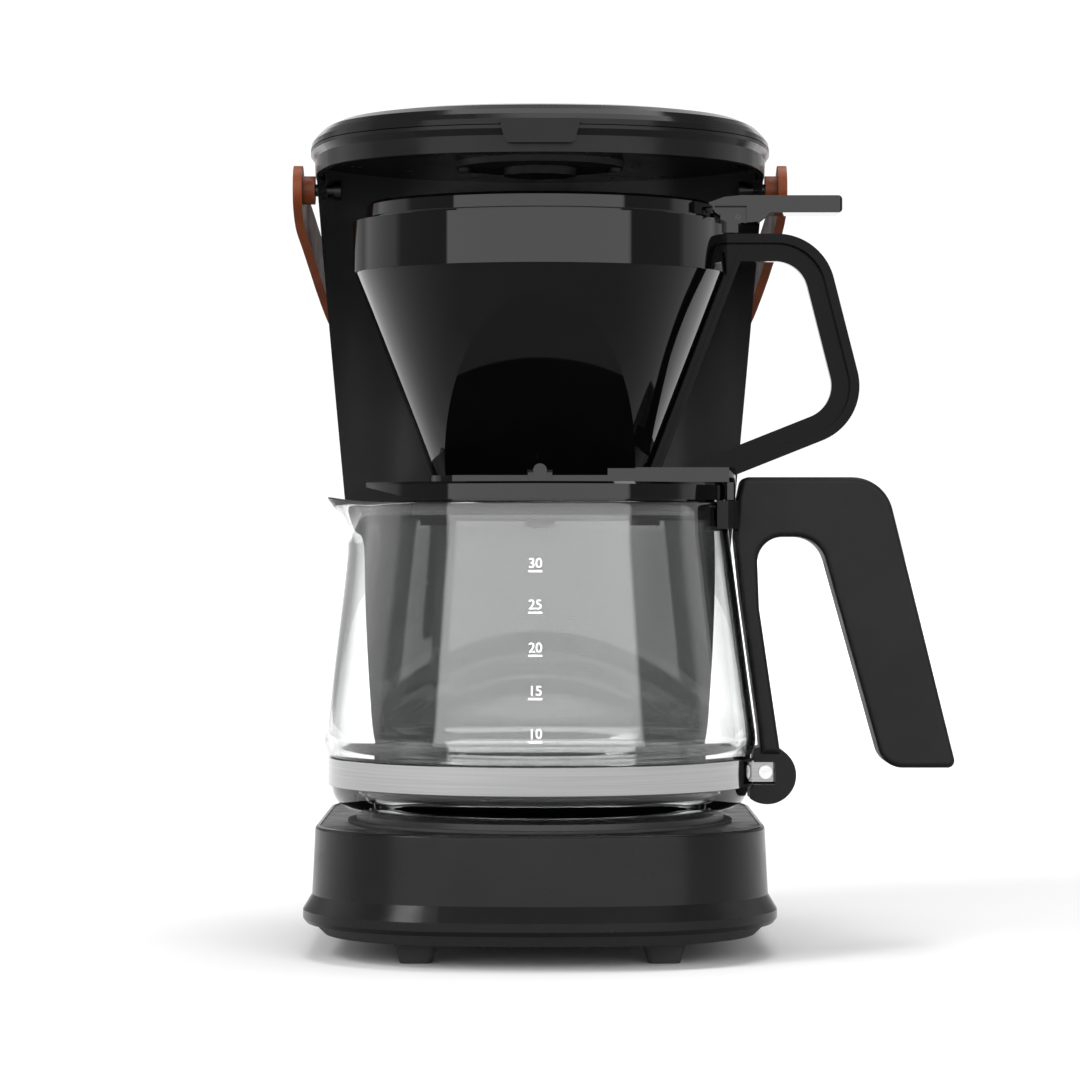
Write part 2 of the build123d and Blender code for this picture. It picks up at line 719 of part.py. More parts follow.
def band_nut():
    nut = Plane.XZ.offset(-2.3) * Pos(CLAMP_X, CLAMP_Z) * RegularPolygon(2.9, 6)
    return extrude(nut, -2.4) - rod_y(1.65, CLAMP_X, (0, 8), CLAMP_Z)


def handle_outline():
    """Side view of the jug's handle: a grip, a top bar and a strip down the glass."""
    corners = [
        (72.4, 169.0), (123.3, 169.0), (149.0, 65.0), (122.9, 65.0), (99.9, 147.6),
        (77.4, 147.6), (78.4, 122.0), (86.0, 70.0), (79.0, 70.0), (78.2, 79.0),
        (71.8, 126.0), (69.6, 147.6), (70.6, 160.4),
    ]
    outline = make_face(Polyline(*corners, close=True))
    rounding = {(123.3, 169.0): 15, (149.0, 65.0): 2.5, (122.9, 65.0): 9,
                (99.9, 147.6): 11, (77.4, 147.6): 9, (72.4, 169.0): 3}
    for (x, z), radius in rounding.items():
        corner = outline.vertices().sort_by_distance((x, z))[0]
        outline = fillet(corner, radius)
    return outline


def jug_handle():
    grip = extrude(Plane.XZ * handle_outline(), GRIP_HALF_Y, both=True)
    faces = [f for f in grip.faces() if abs(abs(f.center().Y) - GRIP_HALF_Y) < 0.01]
    grip = fillet([edge for face in faces for edge in face.edges()], 2.0)
    grip += rod_y(BOSS_R, BOSS_X, (-9, 9), BOSS_Z)
    grip += saddle()
    grip -= disc(77.0, BAND_LOW - 1.2, BAND_HIGH + 1.2)
    grip -= disc(75.6, 40, 60)
    grip -= turned([(0, 68), (76, 68), (78.2, 74), (77.4, 80.2), (68.8, 145.4), (68.2, 151),
                    (68.2, 175), (0, 175)])
    ears = block((74, 88), (-3.0, 3.0), (BAND_LOW - 1, BAND_HIGH + 1))
    window = block((76.3, 84.2), (-12, 0), (58.9, 67.0))
    return grip - ears - window - rod_y(3.4, CLAMP_X, (-6, 7), CLAMP_Z)


def saddle():
    """Curved pad that clasps the glass under its rim."""
    pad = ring(71.8, 68.2, 150.5, 160.4)
    return pad & block((60, 80), (-27, 27), (140, 170))


def jug_lid():
    """Lid with a hole for the coffee, a skirt in the glass and a cut-away for pouring."""
    lid = disc(LID_R, LID_LOW, LID_HIGH)
    lid = chamfer(lid.edges().sort_by(Axis.Z)[-1], 0.8)
    lid += ring(63.6, 61.4, 154.0, LID_LOW)
    lid -= disc(46, LID_LOW - 1, LID_HIGH - 2.2)
    lid -= disc(5.0, LID_LOW - 1, LID_HIGH + 1)
    lid += ring(8.0, 5.0, LID_LOW, LID_HIGH - 2.2)
    for angle in (-125, -55, 0, 90):
        clip = Rot(0, 0, angle) * block((60.5, 64.4), (-5, 5), (151.5, 154.5))
        lid += clip
    wedge = Polyline((-44, LID_LOW - 8), (-44, LID_LOW), (-62.5, 165.4), (-80, 165.4),
                     (-80, LID_LOW - 8), close=True)
    lid -= extrude(Plane.XZ * make_face(wedge), 80, both=True) & disc(80, 150, 170)
    return lid - block((-80, -61.6), (-80, 80), (150, 170))


# ---------------------------------------------------------------- dripper


def cone_wedge(inset, low, high):
    """The dripper's cone cut by its sloping front and back faces."""
    base_r = CONE_LOW_R - inset * 1.07
    cone = loft(
        [Pos(0, 0, z) * Circle(base_r + CONE_SLOPE * (z - CONE_LOW_Z)) for z in (low, high)],
        ruled=True,
    )
    half = FACE_LOW_Y - inset * 1.22
    near = half + FACE_SLOPE * (low - CONE_LOW_Z)
    far = half + FACE_SLOPE * (high - CONE_LOW_Z)
    outline = Polyline((-near, low), (near, low), (far, high), (-far, high), close=True)
    return cone & extrude(Plane.YZ * make_face(outline), 90, both=True)


def dripper_body():
    body = cone_wedge(0, CONE_LOW_Z, RIM_LOW + 2)
    body += disc(RIM_R, RIM_LOW, RIM_HIGH)
    body += flange()
    body -= cone_wedge(SKIN, CAVITY_Z, RIM_LOW)
    body -= disc(RIM_R - SKIN, RIM_LOW + 2.4, RIM_HIGH + 1)
    body -= disc(62.8, RIM_LOW - 0.1, RIM_LOW + 3)
    body -= disc(5.0, 160, CAVITY_Z + 1)
    body -= block((-4.4, 4.4), (-40, 6), (160, 171.4))
    for side in (-1, 1):
        y = sorted((side * 4.5, side * 8.0))
        ear = block((64.0, LID_PIN_X), y, (256.6, LID_PIN_Z + 1.5))
        body += ear + rod_y(2.6, LID_PIN_X, y, LID_PIN_Z)
    body -= disc(RIM_R - SKIN, RIM_HIGH - 8, RIM_HIGH + 5)
    return body - rod_y(1.25, LID_PIN_X, (-20, 20), LID_PIN_Z)


def flange():
    """Foot plate, and the bracket that reaches out to the jug lid's edge."""
    plate = extrude(Pos(0, 0, DRIPPER_Z) * RectangleRounded(79, 46, 16), 2.4)
    tray = block((24, 72), (-21, 21), (DRIPPER_Z, BRACKET_Z)) & disc(70.3, 160, 180)
    tray -= block((36, 67.4), (-19, 19), (DRIPPER_Z - 1, 170.2)) & disc(67.4, 160, 180)
    return plate + tray


def hook():
    """Curved lip under the bracket that hooks over the jug lid's edge."""
    return ring(70.3, 68.1, 160.9, DRIPPER_Z) & block((60, 75), (-13, 13), (150, 180))


def dripper_handle():
    """Loop handle of T section, screwed to the rim and to the bracket."""
    web = loop_area(0, 21) - loop_area(9.6, 12)
    edge = loop_area(0, 21) - loop_area(3.2, 18)
    handle = extrude(Plane.XZ * web, 2.2, both=True)
    handle += extrude(Plane.XZ * edge, 7.0, both=True)
    handle += extrude(Plane.XZ * cone_strip(-2.0, 3.8), 2.2, both=True)
    handle += extrude(Plane.XZ * cone_strip(2.0, 3.8), 7.0, both=True)
    handle -= disc(RIM_R + 0.05, RIM_LOW, RIM_HIGH + 5)
    handle -= disc(70.35, 150, BRACKET_Z + 0.05)
    return handle - cone_wedge(-0.05, CONE_LOW_Z, RIM_LOW + 1)


def loop_area(inset, radius):
    """The loop's side view, set in from its outer edge, with its outer corners rounded."""
    corners = [(40, 256.3), (101.3, 256.3), (118.4, 189.0), (40, 157.8)]
    area = make_face(Polyline(*corners, close=True))
    if inset:
        area = offset(area, -inset, kind=Kind.INTERSECTION)
    area = fillet([v for v in area.vertices() if v.X > 80], radius)
    return area & Pos(130, 213) * Rectangle(160, 200)


def cone_strip(inner, outer):
    """A strip beside the cone's silhouette, between two distances from it."""
    low, high = BRACKET_Z + 0.1, 250.0
    near = CONE_LOW_R + CONE_SLOPE * (low - CONE_LOW_Z)
    far = CONE_LOW_R + CONE_SLOPE * (high - CONE_LOW_Z)
    return make_face(
        Polyline((near + inner, low), (near + outer, low), (far + outer, high),
                 (far + inner, high), close=True)
    )


def dripper_lid():
    """Flat lid with a dish of water holes, and a thumb lever beyond its hinge."""
    lid = disc(DRIPPER_LID_R, DRIPPER_LID_LOW, DRIPPER_LID_HIGH)
    lid = chamfer(lid.edges().sort_by(Axis.Z)[-1], 1.0)
    lid -= disc(DRIPPER_LID_R - 2.2, DRIPPER_LID_LOW - 1, DRIPPER_LID_HIGH - 2.2)
    lid += ring(60.3, 58.3, 258.6, DRIPPER_LID_HIGH - 1)
    lid -= disc(28, DRIPPER_LID_HIGH - 0.8, DRIPPER_LID_HIGH + 1)
    for row, count in ((8, 6), (17, 12), (25, 16)):
        for i in range(count):
            turn = 2 * pi * i / count
            lid -= disc(1.2, 255, 270, row * cos(turn), row * sin(turn))
    return lid + thumb_lever()


def thumb_lever():
    side = Polyline(
        (55.0, 264.8), (62.0, 264.8), (66.0, 262.0), (74.0, 260.2), (78.5, 260.6), (82.5, 263.8),
        (LEVER_END_X, 263.8), (LEVER_END_X, 270.0), (72.0, 270.0), (66.0, 269.4),
        (59.0, 266.9), (55.0, 266.9), close=True,
    )
    lever = extrude(Plane.XZ * make_face(side), 8.0, both=True)
    end = [e for e in lever.edges() if e.center().X > LEVER_END_X - 0.1]
    lever = fillet(end, 1.6)
    for side_y in (-1, 1):
        y = sorted((side_y * 4.2, side_y * 9.0))
        lever -= block((62.6, 74.0), y, (258, 266.2))
    return lever - rod_y(1.3, LID_PIN_X, (-20, 20), LID_PIN_Z)


def lid_pin():
    return rod_y(1.22, LID_PIN_X, (-7.9, 7.9), LID_PIN_Z)


def filter_mesh():
    """Woven strainer that replaces a paper filter."""
    skin = cone_wedge(4.6, 190.0, RIM_LOW - 2)
    return skin - cone_wedge(5.1, 190.6, RIM_LOW - 1.9)


def filter_frame():
    """Moulded frame that holds the mesh: rim, ribs and floor."""
    cage = cone_wedge(3.4, 188.6, RIM_LOW - 1) - cone_wedge(4.6, 190.0, RIM_LOW)
    ribs = block((-70, 70), (-1.5, 1.5), (180, 250)) + block((-1.5, 1.5), (-70, 70), (180, 250))
    ribs += block((-24, -21), (-70, 70), (180, 250)) + block((21, 24), (-70, 70), (180, 250))
    ribs += block((-70, 70), (-70, 70), (188, 190.0)) + block((-70, 70), (-70, 70), (236, 242))
    frame = cage & ribs
    rim = ring(64.4, 60.8, RIM_LOW + 2.5, RIM_LOW + 4.7)
    collar = ring(62.4, 60.8, RIM_LOW - 2.0, RIM_LOW + 3.0)
    return frame + rim + collar


def drip_stop():
    """Slide that shuts the outlet: front tab, link, push pad and stem."""
    link = block((-3.8, 3.8), (-26.0, 4.5), (DRIPPER_Z + GAP, DRIPPER_Z + 1.6))
    tab = Polyline((-2.4, DRIPPER_Z + GAP), (2.4, DRIPPER_Z + GAP), (2.4, 171.4),
                   (-2.4, 171.4), close=True)
    tab = make_face(tab) + Pos(0, 171.2) * Circle(2.4)
    plate = extrude(Plane.XZ.offset(24.2) * tab, 1.8)
    stem = disc(1.8, DRIPPER_Z + 1, 182.0)
    return link + plate + stem - ring(12, 1.75, CAVITY_Z + 0.3, 175.9) + disc(1.75, 172, 176)


def valve_seal():
    seal = disc(7.0, CAVITY_Z + 0.3, CAVITY_Z + 1.4) + disc(4.0, CAVITY_Z + 1.4, 175.9)
    return seal - disc(1.76, 160, 190)


def valve_spring():
    """Spring that presses the seal on to its seat."""
    helix = Helix(pitch=2.2, height=8.6, radius=3.0, center=(0, 0, 176.4))
    start = Plane(origin=helix @ 0, z_dir=helix % 0)
    return sweep(start * Circle(0.35), path=helix)


def valve_cage():
    """Small cage over the valve that the spring pushes against."""
    cage = ring(11.0, 9.6, CAVITY_Z, 186.6) + disc(11.0, 185.6, 186.9)
    cage -= disc(2.1, 180, 190)
    for i in range(4):
        cage -= Rot(0, 0, 45 + 90 * i) * block((5, 14), (-4, 4), (CAVITY_Z - 1, 184))
    return cage


# ---------------------------------------------------------------- the parts


def placed(shapes):
    """A solid, or one shape from a list of solids, moved from the jug's axis to the origin."""
    move = Pos(JUG_AXIS_X, JUG_AXIS_Y)
    if isinstance(shapes, list):
        return Compound(children=[move * shape for shape in shapes])
    return move * shapes


PARTS = {
    "base_housing": base_housing,
    "deck_plate": deck_plate,
    "bottom_cover": bottom_cover,
    "cover_posts": cover_posts,
    "cover_screws": cover_screws,
    "rubber_feet": feet,
    "switch_housing": switch_housing,
    "power_rocker": rocker,
    "cord_gland": cord_gland,
    "lead_wires": lead_wires,
    "hot_plate": hot_plate,
    "hot_plate_seal": plate_seal,
    "heater_casting": heater_casting,
    "heating_rod": heating_rod,
    "water_spigots": water_spigots,
    "heater_strap": heater_strap,
    "heater_nut": heater_nut,
    "thermostat": thermostat,
    "thermal_fuse": thermal_fuse,
    "column_housing": column_housing,
    "column_screws": column_screws,
    "water_tank": water_tank,
    "tank_strainer": outlet_filter,
    "cold_hose": cold_hose,
    "hot_hose": hot_hose,
    "check_valve_seat": check_valve,
    "check_valve_ball": check_ball,
    "hose_clips": hose_clips,
    "riser_tube": riser_tube,
    "riser_grommet": riser_grommet,
    "head_housing": head_housing,
    "spray_head": spray_head,
    "spray_head_screws": spray_screws,
    "tank_lid": tank_lid,
    "tank_lid_pin": hinge_pin,
    "bail_handle": bail_handle,
    "bail_pivot_screws": pivot_screws,
    "jug_glass": jug_glass,
    "jug_band": jug_band,
    "jug_band_screw": band_screw,
    "jug_band_nut": band_nut,
    "jug_handle": jug_handle,
    "jug_lid": jug_lid,
    "dripper_body": dripper_body,
    "dripper_hook": hook,
    "dripper_handle": dripper_handle,
    "dripper_lid": dripper_lid,
    "dripper_lid_pin": lid_pin,
    "filter_frame": filter_frame,
    "filter_mesh": filter_mesh,
    "drip_stop": drip_stop,
    "drip_stop_seal": valve_seal,
    "drip_stop_spring": valve_spring,
    "drip_stop_cage": valve_cage,
}

os.makedirs("parts", exist_ok=True)
for node, make in PARTS.items():
    export_step(placed(make()), f"parts/{node}.step")
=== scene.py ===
"""Studio scene of a household drip coffee maker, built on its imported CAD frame."""

import math

import bmesh
import bpy
from mathutils import Matrix, Vector

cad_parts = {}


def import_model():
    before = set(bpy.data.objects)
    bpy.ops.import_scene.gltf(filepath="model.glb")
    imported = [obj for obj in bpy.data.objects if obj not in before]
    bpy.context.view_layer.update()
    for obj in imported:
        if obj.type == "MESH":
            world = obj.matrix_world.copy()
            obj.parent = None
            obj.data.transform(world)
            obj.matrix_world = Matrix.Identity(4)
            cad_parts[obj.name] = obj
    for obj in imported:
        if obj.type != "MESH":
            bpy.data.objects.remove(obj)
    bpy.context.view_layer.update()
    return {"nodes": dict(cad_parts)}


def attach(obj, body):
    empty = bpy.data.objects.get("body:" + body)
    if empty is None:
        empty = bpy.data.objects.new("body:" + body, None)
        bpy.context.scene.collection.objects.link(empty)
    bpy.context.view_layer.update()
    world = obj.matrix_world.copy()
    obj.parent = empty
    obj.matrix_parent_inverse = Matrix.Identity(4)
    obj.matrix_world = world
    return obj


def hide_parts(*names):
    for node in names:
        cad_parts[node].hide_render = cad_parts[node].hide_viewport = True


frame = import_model()
scene = bpy.context.scene
nodes = frame["nodes"]
MM = 0.001

# Places and sizes in millimetres; the jug's are measured from its own axis.
JUG_AXIS = Vector((-29.0, -27.7, 0.0))
WIDE_RADIUS = 77.1      # the glass outside, at its widest
WIDE_HEIGHT = 79.5
NECK_RADIUS = 68.6      # and at its neck
NECK_HEIGHT = 143.0
GLASS_STEPS = 160       # around the jug
SPOUT_FOOT = 141.0      # the pouring lip starts here
SPOUT_RISE = 19.0
SPOUT_OUT = 9.8
SPOUT_UP = 2.0
SPOUT_PINCH = 0.9       # the rim is drawn in on both sides of the lip
MARK_SIZE = 4.8
MARK_SIDE = -1.6        # the marks stand a little left of the front
MARK_GAP = 0.12         # between the glass and the print
MARK_FILM = 0.03
MARK_HEIGHTS = {10: 78.8, 15: 93.4, 20: 108.1, 25: 122.8, 30: 137.0}
BAR_HALF = 2.35
BAR_LOW = -1.6
BAR_HIGH = -0.85
FLOOR_HALF = 30000

# Brightness of the surroundings.
PANEL = 3.6
FLANK = 0.4
CEILING = 0.12
BACKDROP = 1.05


# ---------------------------------------------------------------- node helpers


def new_material(name):
    """An empty node material and its Principled shader."""
    material = bpy.data.materials.new(name)
    material.use_nodes = True
    shader = material.node_tree.nodes["Principled BSDF"]
    return material, material.node_tree, shader


def add(tree, kind, **values):
    """A node with its input sockets or properties set by name."""
    node = tree.nodes.new(kind)
    for key, value in values.items():
        if key in node.inputs:
            node.inputs[key].default_value = value
        else:
            setattr(node, key, value)
    return node


def noise(tree, scale, detail=3.0, stretch=(1, 1, 1)):
    """Noise in object space, stretched along the axes with small factors."""
    place = add(tree, "ShaderNodeTexCoord")
    mapping = add(tree, "ShaderNodeMapping", Scale=stretch)
    tree.links.new(place.outputs["Object"], mapping.inputs["Vector"])
    texture = add(tree, "ShaderNodeTexNoise", Scale=scale, Detail=detail, Roughness=0.55)
    tree.links.new(mapping.outputs["Vector"], texture.inputs["Vector"])
    return texture.outputs["Fac"]


def ramp(tree, source, low, high, start=0.3, end=0.7):
    """Maps a 0..1 value to a colour or a grey between two ends."""
    node = add(tree, "ShaderNodeValToRGB")
    node.color_ramp.elements[0].position = start
    node.color_ramp.elements[1].position = end
    for element, value in zip(node.color_ramp.elements, (low, high)):
        grey = value if isinstance(value, tuple) else (value, value, value)
        element.color = (*grey, 1)
    tree.links.new(source, node.inputs["Fac"])
    return node.outputs["Color"]


def bump(tree, shader, height, strength, distance):
    """Raises the surface by a 0..1 value; distance is in metres."""
    node = add(tree, "ShaderNodeBump", Strength=strength, Distance=distance)
    tree.links.new(height, node.inputs["Height"])
    tree.links.new(node.outputs["Normal"], shader.inputs["Normal"])


# ---------------------------------------------------------------- materials


def moulded(name, dark, light, rough_low, rough_high, grain=2600.0, grain_depth=0.00002,
            grain_strength=0.25, specular=0.5):
    """Moulded plastic: fine grain, faint cloudy colour and uneven sheen."""
    material, tree, shader = new_material(name)
    cloud = noise(tree, 28.0, 4.0)
    tree.links.new(ramp(tree, cloud, dark, light), shader.inputs["Base Color"])
    tree.links.new(ramp(tree, noise(tree, 90.0, 5.0), rough_low, rough_high),
                   shader.inputs["Roughness"])
    bump(tree, shader, noise(tree, grain, 2.0), grain_strength, grain_depth)
    shader.inputs["Specular IOR Level"].default_value = specular
    return material


def metal(name, dark, light, rough_low, rough_high, stretch=(1, 1, 1), scale=400.0,
          strength=0.2, depth=0.00002):
    """Bare metal whose colour and polish follow one noise, streaked where it is brushed."""
    material, tree, shader = new_material(name)
    shader.inputs["Metallic"].default_value = 1.0
    streaks = noise(tree, scale, 4.0, stretch)
    tree.links.new(ramp(tree, streaks, dark, light), shader.inputs["Base Color"])
    tree.links.new(ramp(tree, streaks, rough_low, rough_high), shader.inputs["Roughness"])
    bump(tree, shader, streaks, strength, depth)
    return material


def clear_glass():
    """Clear glass with painted shade at its rim: its colour is painted dark grey where it is
    seen edge on.
    """
    material, tree, shader = new_material("jug_glass_clear")
    # Painted shade: the colour runs from near white to dark grey as the surface turns edge on
    # to the view.
    edge = add(tree, "ShaderNodeLayerWeight", Blend=0.5)
    tone = ramp(tree, edge.outputs["Facing"], (0.985, 0.995, 0.99), (0.22, 0.23, 0.23),
                0.72, 0.97)
    tree.links.new(tone, shader.inputs["Base Color"])
    shader.inputs["Transmission Weight"].default_value = 1.0
    shader.inputs["IOR"].default_value = 1.5
    tree.links.new(ramp(tree, noise(tree, 40.0, 3.0), 0.0, 0.006), shader.inputs["Roughness"])
    bump(tree, shader, noise(tree, 9.0, 1.0), 0.02, 0.0003)
    return material


def leather():
    """Brown leather-look strap with pebbled grain and darker pores."""
    material, tree, shader = new_material("strap_leather")
    place = add(tree, "ShaderNodeTexCoord")
    pebble = add(tree, "ShaderNodeTexVoronoi", Scale=900.0)
    tree.links.new(place.outputs["Object"], pebble.inputs["Vector"])
    tone = ramp(tree, noise(tree, 60.0, 5.0), (0.12, 0.024, 0.005), (0.18, 0.04, 0.009))
    tree.links.new(tone, shader.inputs["Base Color"])
    tree.links.new(ramp(tree, noise(tree, 150.0, 4.0), 0.38, 0.55), shader.inputs["Roughness"])
    shader.inputs["Specular IOR Level"].default_value = 0.2
    bump(tree, shader, pebble.outputs["Distance"], 0.18, 0.00008)
    return material


def silicone(name, dark, light):
    """Soft, slightly translucent rubber or sleeving."""
    material, tree, shader = new_material(name)
    tree.links.new(ramp(tree, noise(tree, 60.0), dark, light), shader.inputs["Base Color"])
    tree.links.new(ramp(tree, noise(tree, 120.0), 0.4, 0.55), shader.inputs["Roughness"])
    bump(tree, shader, noise(tree, 900.0), 0.1, 0.00003)
    shader.inputs["Subsurface Weight"].default_value = 0.1
    shader.inputs["Subsurface Radius"].default_value = (0.003, 0.003, 0.003)
    return material


def woven():
    """Nylon strainer cloth: two crossed sets of threads."""
    material, tree, shader = new_material("strainer_cloth")
    place = add(tree, "ShaderNodeTexCoord")
    threads = []
    for direction in ("X", "Z"):
        wave = add(tree, "ShaderNodeTexWave", Scale=600.0, Distortion=0.4)
        wave.bands_direction = direction
        tree.links.new(place.outputs["Object"], wave.inputs["Vector"])
        threads.append(wave.outputs["Fac"])
    weave = add(tree, "ShaderNodeMath", operation="MAXIMUM")
    tree.links.new(threads[0], weave.inputs[0])
    tree.links.new(threads[1], weave.inputs[1])
    tone = ramp(tree, weave.outputs[0], (0.16, 0.13, 0.09), (0.5, 0.44, 0.34))
    tree.links.new(tone, shader.inputs["Base Color"])
    shader.inputs["Roughness"].default_value = 0.6
    bump(tree, shader, weave.outputs[0], 0.5, 0.0001)
    return material


def print_white():
    """White ink of the cup marks."""
    material, tree, shader = new_material("print_white")
    tree.links.new(ramp(tree, noise(tree, 300.0), 0.85, 0.95), shader.inputs["Base Color"])
    tree.links.new(ramp(tree, noise(tree, 500.0), 0.45, 0.6), shader.inputs["Roughness"])
    return material


BODY = moulded("body_black_satin", (0.0055, 0.0055, 0.0058), (0.0075, 0.0075, 0.0079),
               0.2, 0.28, specular=0.13)
# The column's black is painted about eight times lighter than the body's, as painted fill
# light for its shaded bay.
COLUMN_PAINTED_FILL = moulded("column_black_painted_fill", (0.045, 0.045, 0.046), (0.055, 0.055, 0.056),
                 0.16, 0.24, specular=0.4)
LID = moulded("lid_black_satin", (0.0055, 0.0055, 0.0058), (0.0075, 0.0075, 0.0079),
              0.12, 0.18, specular=0.1)
GRIP = moulded("grip_black_matt", (0.006, 0.006, 0.0063), (0.008, 0.008, 0.0084), 0.42, 0.52,
               grain_strength=0.35, specular=0.13)
LOOP = moulded("loop_black", (0.0012, 0.0012, 0.0013), (0.002, 0.002, 0.0021), 0.08, 0.13,
               grain=35.0, grain_depth=0.0002, grain_strength=0.02, specular=0.06)
GLOSS = moulded("gloss_black", (0.0012, 0.0012, 0.0013), (0.002, 0.002, 0.0021), 0.03, 0.06,
                grain=35.0, grain_depth=0.0002, grain_strength=0.02, specular=0.27)
DECK = moulded("deck_black", (0.006, 0.006, 0.0062), (0.009, 0.009, 0.0092), 0.3, 0.42,
               specular=0.05)
DARK = moulded("plain_dark", (0.008, 0.008, 0.008), (0.013, 0.013, 0.013), 0.5, 0.65,
               grain=1500.0, grain_strength=0.35)
TANK = moulded("tank_dark", (0.03, 0.03, 0.032), (0.045, 0.045, 0.047), 0.3, 0.4)
GREY = moulded("plain_grey", (0.12, 0.12, 0.125), (0.17, 0.17, 0.175), 0.45, 0.6)
RUBBER = moulded("foot_rubber", (0.016, 0.016, 0.016), (0.026, 0.026, 0.026), 0.75, 0.92,
                 grain=900.0, grain_depth=0.00005, grain_strength=0.5)
PLATE = moulded("plate_coating", (0.01, 0.01, 0.011), (0.018, 0.018, 0.019), 0.3, 0.42,
                grain=1800.0, grain_depth=0.00003, grain_strength=0.5)
BLACK_SCREW = metal("blackened_screw", (0.03, 0.03, 0.031), (0.05, 0.05, 0.051), 0.3, 0.45)
STEEL = metal("zinc_screw", (0.45, 0.45, 0.46), (0.62, 0.62, 0.63), 0.25, 0.4)
BAND = metal("band_brushed", (0.3, 0.3, 0.303), (0.36, 0.36, 0.362), 0.05, 0.1,
             stretch=(0.05, 0.05, 6.0), scale=260.0)
CAST = metal("cast_aluminium", (0.5, 0.5, 0.5), (0.68, 0.68, 0.68), 0.45, 0.65, scale=700.0,
             strength=0.5, depth=0.0001)
STRIP = metal("bare_strip", (0.4, 0.39, 0.37), (0.58, 0.57, 0.55), 0.3, 0.5,
              stretch=(0.1, 6, 6))
GLASS = clear_glass()
LEATHER = leather()
SILICONE = silicone("hose_silicone", (0.6, 0.58, 0.54), (0.75, 0.73, 0.68))
SLEEVE = silicone("sleeve_woven", (0.45, 0.43, 0.38), (0.62, 0.6, 0.54))
CLOTH = woven()
PRINT = print_white()

FINISHES = {
    BODY: "base_housing head_housing",
    COLUMN_PAINTED_FILL: "column_housing",
    LOOP: "dripper_handle",
    LID: "tank_lid",
    GRIP: "jug_handle",
    DECK: "deck_plate",
    GLOSS: "jug_lid dripper_body dripper_lid drip_stop "
           "drip_stop_cage power_rocker dripper_hook",
    DARK: "bottom_cover cover_posts switch_housing spray_head",
    TANK: "water_tank",
    GREY: "tank_strainer check_valve_seat check_valve_ball filter_frame",
    RUBBER: "rubber_feet cord_gland hot_plate_seal",
    PLATE: "hot_plate",
    STEEL: "cover_screws heater_nut hose_clips tank_lid_pin jug_band_screw jug_band_nut "
           "drip_stop_spring",
    BLACK_SCREW: "column_screws spray_head_screws bail_pivot_screws dripper_lid_pin",
    BAND: "jug_band",
    CAST: "heater_casting",
    STRIP: "heating_rod water_spigots heater_strap thermostat",
    GLASS: "jug_glass",
    LEATHER: "bail_handle",
    SILICONE: "cold_hose hot_hose riser_tube riser_grommet drip_stop_seal",
    SLEEVE: "thermal_fuse lead_wires",
    CLOTH: "filter_mesh",
}


def paint(obj, material):
    """Gives a piece one material only."""
    obj.data.materials.clear()
    obj.data.materials.append(material)


def soften(obj, width):
    """Rounds a CAD node's hard edges and smooths its shading."""
    bevel = obj.modifiers.new("rounded_edges", "BEVEL")
    bevel.width = width
    bevel.segments = 2
    bevel.limit_method = "ANGLE"
    bevel.angle_limit = math.radians(35)
    bevel.harden_normals = True
    bevel.use_clamp_overlap = True


for material, names in FINISHES.items():
    for name in names.split():
        paint(nodes[name], material)


# ---------------------------------------------------------------- mesh helpers


def mesh_object(name, points, faces, material, smooth=True):
    """A new piece from points in millimetres, measured from the jug's axis."""
    mesh = bpy.data.meshes.new(name)
    mesh.from_pydata([(Vector(p) + JUG_AXIS) * MM for p in points], [], faces)
    mesh.validate()
    mesh.update()
    for polygon in mesh.polygons:
        polygon.use_smooth = smooth
    obj = bpy.data.objects.new(name, mesh)
    scene.collection.objects.link(obj)
    mesh.materials.append(material)
    return obj


# ---------------------------------------------------------------- jug


def jug_profile():
    """Radius and height along the glass wall, from the inside bottom to the outside."""
    inside = [(0, 55.2), (30, 55.1), (58, 54.7), (66, 55.8), (71.4, 59.2), (72.9, 63.5),
              (72.9, 68.0), (73.7, 70.6), (75.0, 73.0), (75.3, 75.5), (74.9, 79.5),
              (72.9, 94.0), (69.6, 118.8), (66.5, 142.5), (65.6, 148.5), (65.2, 154.0),
              (65.3, 158.6)]
    lip = [(65.8, 159.9), (66.7, 160.2), (67.4, 159.6)]
    outside = [(67.6, 158.2), (67.5, 154.0), (67.8, 149.0), (68.6, 143.0), (71.8, 118.8),
               (75.1, 94.0), (77.1, 79.5), (77.7, 75.0), (77.3, 72.3), (76.0, 70.2),
               (75.4, 68.6), (75.4, 63.0), (75.1, 58.0), (74.0, 54.2), (71.6, 51.3),
               (68.2, 50.1), (64.6, 50.1), (61.5, 51.1), (55, 51.4), (30, 51.4), (0, 51.4)]
    return inside + lip + outside


def spout_shift(radius, height, angle):
    """How far the pouring lip pushes a point of the glass outwards and up."""
    rise = max(0.0, min(1.0, (height - SPOUT_FOOT) / SPOUT_RISE))
    off = math.atan2(math.sin(angle - math.pi), math.cos(angle - math.pi))
    near = math.exp(-((off / 0.21) ** 2))
    around = math.exp(-((off / 0.48) ** 2))
    out = SPOUT_OUT * rise ** 2.3 * near
    up = SPOUT_UP * rise ** 3 * near
    pinch = SPOUT_PINCH * rise * (around - near)
    return radius + out - pinch, height + up


